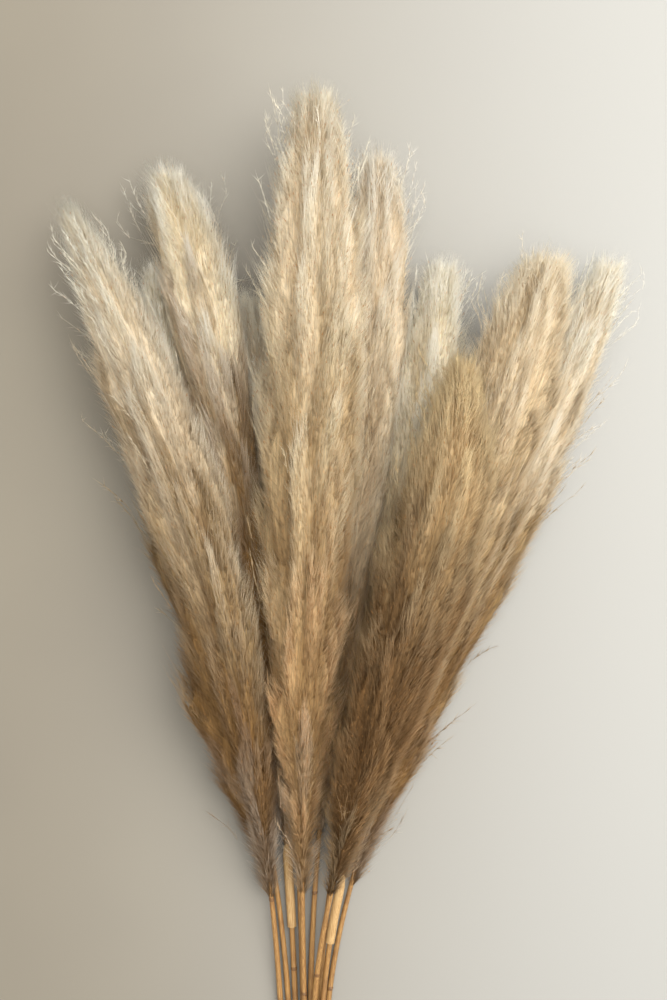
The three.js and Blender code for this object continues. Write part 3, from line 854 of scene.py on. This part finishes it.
    # loose feathery sprays that stand out of the outline, a thin stem each
    number, steps = settings["strays"], settings["straySteps"]
    pathSpare, stemSpare, hairSpare = settings["straySpares"]
    owner = rng.integers(0, count, number)
    level = tufts["level"][owner] + tufts["length"][owner] * rng.uniform(0.6, 0.95, number)
    level = np.clip(level, stem["base"], top - settings["strayBelow"] * rng.uniform(0.8, 1.6, number))
    turn = tufts["angle"][owner] + rng.normal(0, 0.15, number)
    start = around(stem, level, 0.8 * reachAt(stem, level, turn), turn)
    outward, axis = outwardAt(turn), unit(stepAt(stem, level))
    lean = np.radians(rng.uniform(*settings["strayLean"], number))[:, None]
    direction = axis * np.cos(lean) + outward * np.sin(lean) + rng.normal(0, 0.07, (number, 3))
    size = rng.uniform(*settings["strayLength"], number)[:, None, None]
    part = np.linspace(0, 1, steps + 1)[None, :, None]
    curl = outward * rng.normal(*settings["strayCurl"], (number, 1)) + rng.normal(0, 0.08, (number, 3))
    path = start[:, None] + size * (part * direction[:, None] + part ** 2 * curl[:, None])
    path = within(path.reshape(-1, 3), pathSpare, 0).reshape(number, steps + 1, 3)
    outward, owner = np.repeat(outward, steps, 0), np.repeat(owner, steps)
    draws = drawsOf(rng, tufts["draw"][owner])
    pieces = (path[:, 1:] - path[:, :-1]).reshape(-1, 3)
    addHairs(path[:, :-1].reshape(-1, 3), unit(pieces), np.linalg.norm(pieces, axis=1) * 1.7,
             settings["strayStemWidth"], outward, 0 * draws[:, 0] + 0.8, draws, stemSpare, 0)
    # and hairs along it
    spray = rng.integers(0, number, number * settings["strayHairs"])
    step = rng.integers(0, steps, len(spray))
    link = path[spray, step + 1] - path[spray, step]
    root = path[spray, step] + link * rng.random((len(spray), 1))
    heading = unit(unit(link) + 0.38 * rng.normal(size=root.shape))
    draws = drawsOf(rng, tufts["draw"][owner[spray * steps]])
    length = rng.uniform(*settings["strayHairLength"], len(spray))
    addHairs(root, heading, length, settings["strayHairWidth"], outward[spray * steps],
             0 * draws[:, 0] + 0.9, draws, hairSpare, 0)

    # the last tuft that ends the plume, in a few wisps
    number, peak = settings["tipHairs"], np.array([top + settings["tipPast"]])
    level = stem["base"] + span * rng.uniform(0.9, 0.985, number)
    turn = rng.uniform(0, 2 * np.pi, number)
    reach = reachAt(stem, level, turn) * rng.uniform(0.2, 0.75, number)
    root = keepClear(stem, around(stem, level, reach, turn), *settings["lastClear"])
    x, z = axisAt(stem, peak)
    scatter = np.array(settings["tipScatter"]) * stem["fan"] + 2
    wisps = scatter * rng.normal(0, 1, (settings["tipWisps"], 3))
    aim = np.stack([x, peak, z], -1) + wisps[rng.integers(0, len(wisps), number)]
    aim = steep(root, aim + rng.normal(0, 2.5, (number, 3)), settings["tipSteep"])
    length = np.linalg.norm(aim - root, axis=1) * rng.uniform(*settings["tipLength"], number)
    draws = drawsOf(rng, rng.random(number))
    addHairs(root, unit(aim - root), length, settings["hairWidth"] * settings["tipWidth"], outwardAt(turn),
             0 * turn + 0.8, draws)

    piece = gather.makeObject(pieceName("plume", stem["name"]))
    piece.data.materials.append(plumeMaterials[stem["tone"]])
    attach(piece, "root")
    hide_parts("plume_" + stem["name"])
    return piece


added = 0
for order, stem in enumerate(stems):
    plume = makePlume(stem, order)
    added += len(plume.data.polygons)
    print("plume", stem["name"], len(plume.data.polygons), "faces")
print("plumes made:", added, "faces")

# stalks: hollow straws with joints, cut off at the lower end
stalkSettings = {
    "radius": 0.00355, "topRadius": 0.0026,
    "sections": 36, "sides": 3,
    "jointStart": 0.035, "jointStep": 0.021, "jointEvery": 0.17,
    "jointHalf": 0.0022, "jointSwell": 1.22,
    "boreShare": 0.55, "boreDepth": 0.004,
    "socketDepth": 0.015,
}


# cuts a single Bezier segment off at a share of its length
def firstPart(handles, t):
    a = [handles[k].lerp(handles[k + 1], t) for k in range(3)]
    b = [a[k].lerp(a[k + 1], t) for k in range(2)]
    return [handles[0], a[0], b[0], b[0].lerp(b[1], t)]


def axisHandles(stem, low, high):
    top = stem["tip"][1]
    levels = [cutLevel + (top - cutLevel) * k / 3 for k in range(4)]
    xs = (stem["cut"][0], *stem["bend"], stem["tip"][0])
    zs = (stem["cut"][1], *stem["rise"], stem["tip"][2])
    handles = [Vector((x, y, z)) * toMetres for x, y, z in zip(xs, levels, zs)]
    start = (low - cutLevel) / (top - cutLevel)
    end = (high - cutLevel) / (top - cutLevel)
    handles = firstPart(handles, end)
    handles = firstPart(handles[::-1], 1 - start / end)[::-1]
    return handles


def tubeAlong(name, handles, startRadius, endRadius, sections, roundness, capped):
    bpy.ops.object.select_all(action="DESELECT")
    bpy.ops.curve.primitive_bezier_curve_add(location=(0, 0, 0))
    curve = bpy.context.object
    curve.name = name
    data = curve.data
    data.dimensions = "3D"
    data.twist_mode = "Z_UP"
    data.bevel_depth = startRadius
    data.bevel_resolution = roundness
    data.resolution_u = sections
    data.use_fill_caps = capped
    first, second = data.splines[0].bezier_points
    for point, spot, left, right, radius in (
        (first, handles[0], handles[0] * 2 - handles[1], handles[1], 1.0),
        (second, handles[3], handles[2], handles[3] * 2 - handles[2], endRadius / startRadius),
    ):
        point.handle_left_type = point.handle_right_type = "FREE"
        point.co, point.handle_left, point.handle_right = spot, left, right
        point.radius = radius
    bpy.ops.object.convert(target="MESH")
    tube = bpy.context.object
    tube.name = tube.data.name = name
    return tube


def selectWhere(tube, test, mode="VERT"):
    bpy.ops.object.mode_set(mode="EDIT")
    bpy.ops.mesh.select_mode(type=mode)
    bpy.ops.mesh.select_all(action="DESELECT")
    edit = bmesh.from_edit_mesh(tube.data)
    parts = edit.verts if mode == "VERT" else edit.faces
    parts.ensure_lookup_table()
    found = 0
    for part in parts:
        if test(part):
            part.select_set(True)
            found += 1
    edit.select_flush_mode()
    bmesh.update_edit_mesh(tube.data)
    return found


def makeStalk(stem, order):
    settings = stalkSettings
    low, high = cutLevel + stem["trim"], stem["base"] + settings["socketDepth"] * 1000
    name = pieceName("stalk", stem["name"])
    stalk = tubeAlong(name, axisHandles(stem, low, high), settings["radius"], settings["topRadius"],
                      settings["sections"], settings["sides"], True)
    mesh = stalk.data
    mesh.materials.clear()
    for material in (stalkMaterial, jointAndHollowShadeMaterial, pithMaterial):
        mesh.materials.append(material)
    editAll()
    bpy.ops.mesh.remove_doubles(threshold=0.00001)
    bpy.ops.mesh.normals_make_consistent(inside=False)
    leaveEdit()
    # joints: three cuts close together, of which the middle one swells
    half = settings["jointHalf"]
    joint = low * toMetres + (settings["jointStart"] + settings["jointStep"] * ((order * 7) % 5))
    while joint < (high - 12) * toMetres:
        for shift in (-half, 0.0, half):
            editAll()
            bpy.ops.mesh.bisect(plane_co=(0, joint + shift, 0), plane_no=(0, 1, 0))
            leaveEdit()
        selectWhere(stalk, lambda v: abs(v.co.y - joint) < 0.0001)
        bpy.ops.transform.resize(value=(settings["jointSwell"], 1, settings["jointSwell"]))
        leaveEdit()
        selectWhere(stalk, lambda f: abs(f.calc_center_median().y - joint) < 0.0016, "FACE")
        bpy.context.object.active_material_index = 1
        bpy.ops.object.material_slot_assign()
        leaveEdit()
        joint += settings["jointEvery"]
    # the cut end shows the hollow inside
    lowest = min(v.co.y for v in mesh.vertices) + 0.001
    if selectWhere(stalk, lambda f: f.normal.y < -0.8 and f.calc_center_median().y < lowest, "FACE"):
        bpy.ops.mesh.inset(thickness=settings["radius"] * (1 - settings["boreShare"]), depth=0)
        bpy.context.object.active_material_index = 2
        bpy.ops.object.material_slot_assign()
        # painted shade: the floor of the short hollow takes the dark joint colour, standing in for the dark
        # inside of the straw
        bpy.ops.mesh.extrude_region_move(TRANSFORM_OT_translate={"value": (0, settings["boreDepth"], 0)})
        bpy.context.object.active_material_index = 1
        bpy.ops.object.material_slot_assign()
    leaveEdit()
    bpy.ops.object.shade_smooth_by_angle(angle=math.radians(40))
    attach(stalk, "root")
    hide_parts("stalk_" + stem["name"])
    return stalk


for order, stem in enumerate(stems):
    stalk = makeStalk(stem, order)
    added += sum(len(face.vertices) - 2 for face in stalk.data.polygons)
print("stalks made:", added, "triangles so far")

# papery leaf sheaths round two stalks, open down one side and cut to a point
sheathSettings = {
    "thickness": 0.0005, "startRadius": 0.00475, "endRadius": 0.0052,
    "sections": 30, "slant": 0.036, "crumple": 0.00035,
    "pieces": [("left_tall", -378, -280), ("right_large", -392, -310)],
}


def makeSheath(name, low, high):
    settings = sheathSettings
    stem = next(entry for entry in stems if entry["name"] == name)
    label = pieceName("leafSheath", name)
    sheath = tubeAlong(label, axisHandles(stem, low, high), settings["startRadius"], settings["endRadius"],
                       settings["sections"], 4, False)
    sheath.data.materials.clear()
    sheath.data.materials.append(sheathMaterial)
    top = Vector(axisHandles(stem, low, high)[3])
    wide = 2 * settings["endRadius"]
    editAll()
    bpy.ops.mesh.remove_doubles(threshold=0.00001)
    bpy.ops.mesh.bisect(plane_co=(top.x, top.y, top.z + wide / 2),
                        plane_no=Vector((0, wide, -settings["slant"])).normalized(),
                        use_fill=False, clear_outer=True)
    bpy.ops.mesh.select_all(action="SELECT")
    bpy.ops.mesh.normals_make_consistent(inside=False)
    leaveEdit()
    folds = bpy.data.textures.new(label + "Folds", "CLOUDS")
    folds.noise_scale = 0.012
    ruffle = sheath.modifiers.new("ruffle", "DISPLACE")
    ruffle.texture = folds
    ruffle.texture_coords = "LOCAL"
    ruffle.strength = settings["crumple"]
    ruffle.mid_level = 0.3
    bpy.ops.object.modifier_apply(modifier="ruffle")
    wall = sheath.modifiers.new("wall", "SOLIDIFY")
    wall.thickness = settings["thickness"]
    wall.offset = 0
    bpy.ops.object.modifier_apply(modifier="wall")
    bpy.ops.object.shade_smooth_by_angle(angle=math.radians(50))
    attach(sheath, "root")
    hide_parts("leaf_sheath_" + name)
    return sheath


for row in sheathSettings["pieces"]:
    sheath = makeSheath(*row)
    added += sum(len(face.vertices) - 2 for face in sheath.data.polygons)
print("sheaths made:", added, "triangles in all")
